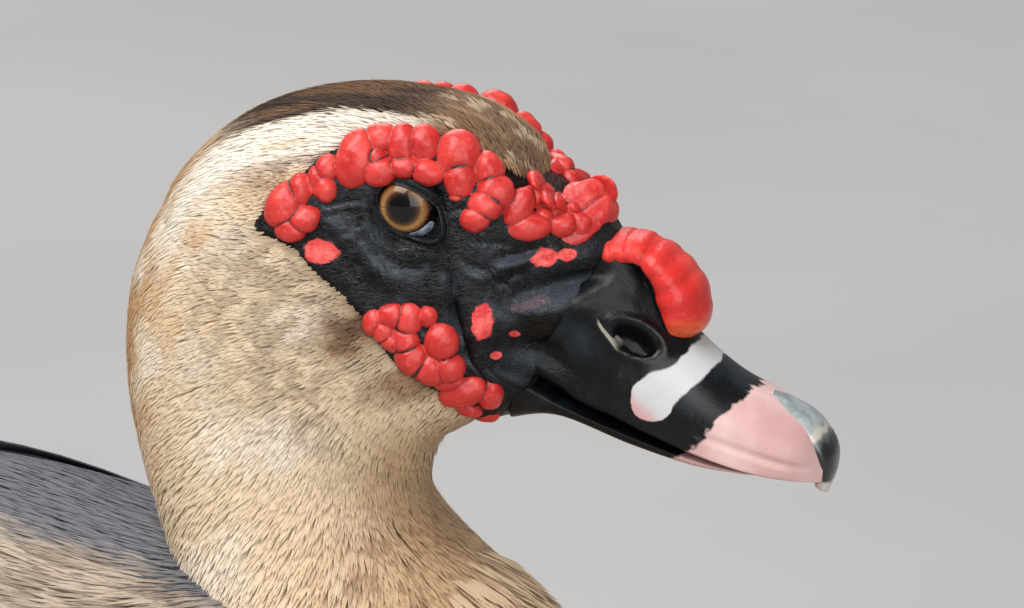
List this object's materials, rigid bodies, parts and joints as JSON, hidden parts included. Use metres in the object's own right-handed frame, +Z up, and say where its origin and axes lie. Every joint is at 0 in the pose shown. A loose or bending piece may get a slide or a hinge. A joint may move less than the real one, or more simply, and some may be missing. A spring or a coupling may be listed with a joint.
{
  "type": "muscovy duck",
  "caption": "Life-size standing muscovy duck with a knobbed bill, bare carunculated face, folded wings, fanned tail and webbed feet.",
  "frame": {"origin": "on the floor under the middle of the bird's bounding box, level with the soles", "axes": "+X forward to the bill, +Y to the bird's left, +Z up"},
  "size_m": [0.6054, 0.2208, 0.3661],
  "materials": {
    "body_feathers": "soft fawn and grey-brown body feathers with paler edges",
    "neck_feathers": "short soft cream and buff neck feathers, brown at the tips low on the front",
    "head_feathers": "fine brown crown feathers streaked with white, cream on the cheek",
    "wing_feathers": "smooth blue-grey flight feathers with a pale edge and a soft sheen",
    "face_skin": "bare black finely wrinkled skin, half glossy, with small red patches",
    "caruncle": "red fleshy caruncle, moist, with fine creases",
    "bill": "smooth horn, black with a white band and a pink tip",
    "nail": "polished dark grey horn with a pale hooked rim",
    "eye": "wet glossy eye, amber-brown iris, black pupil",
    "leg_skin": "dark scaled leg skin, webs between the toes"
  },
  "bodies": {
    "root": {"torso": "body_feathers", "neck": "neck_feathers", "head": "head_feathers", "face": "face_skin", "caruncles_brow_right": "caruncle", "caruncles_brow_left": "caruncle", "caruncles_cheek_right": "caruncle", "caruncles_cheek_left": "caruncle", "bill_knob": "caruncle", "bill_upper": "bill", "bill_lower": "bill", "bill_nail": "nail", "eye_right": "eye", "eye_left": "eye", "wing_right": "wing_feathers", "wing_left": "wing_feathers", "tail": "wing_feathers", "thigh_right": "body_feathers", "thigh_left": "body_feathers", "shank_right": "leg_skin", "shank_left": "leg_skin", "foot_right": "leg_skin", "foot_left": "leg_skin"}
  },
  "joints": []
}
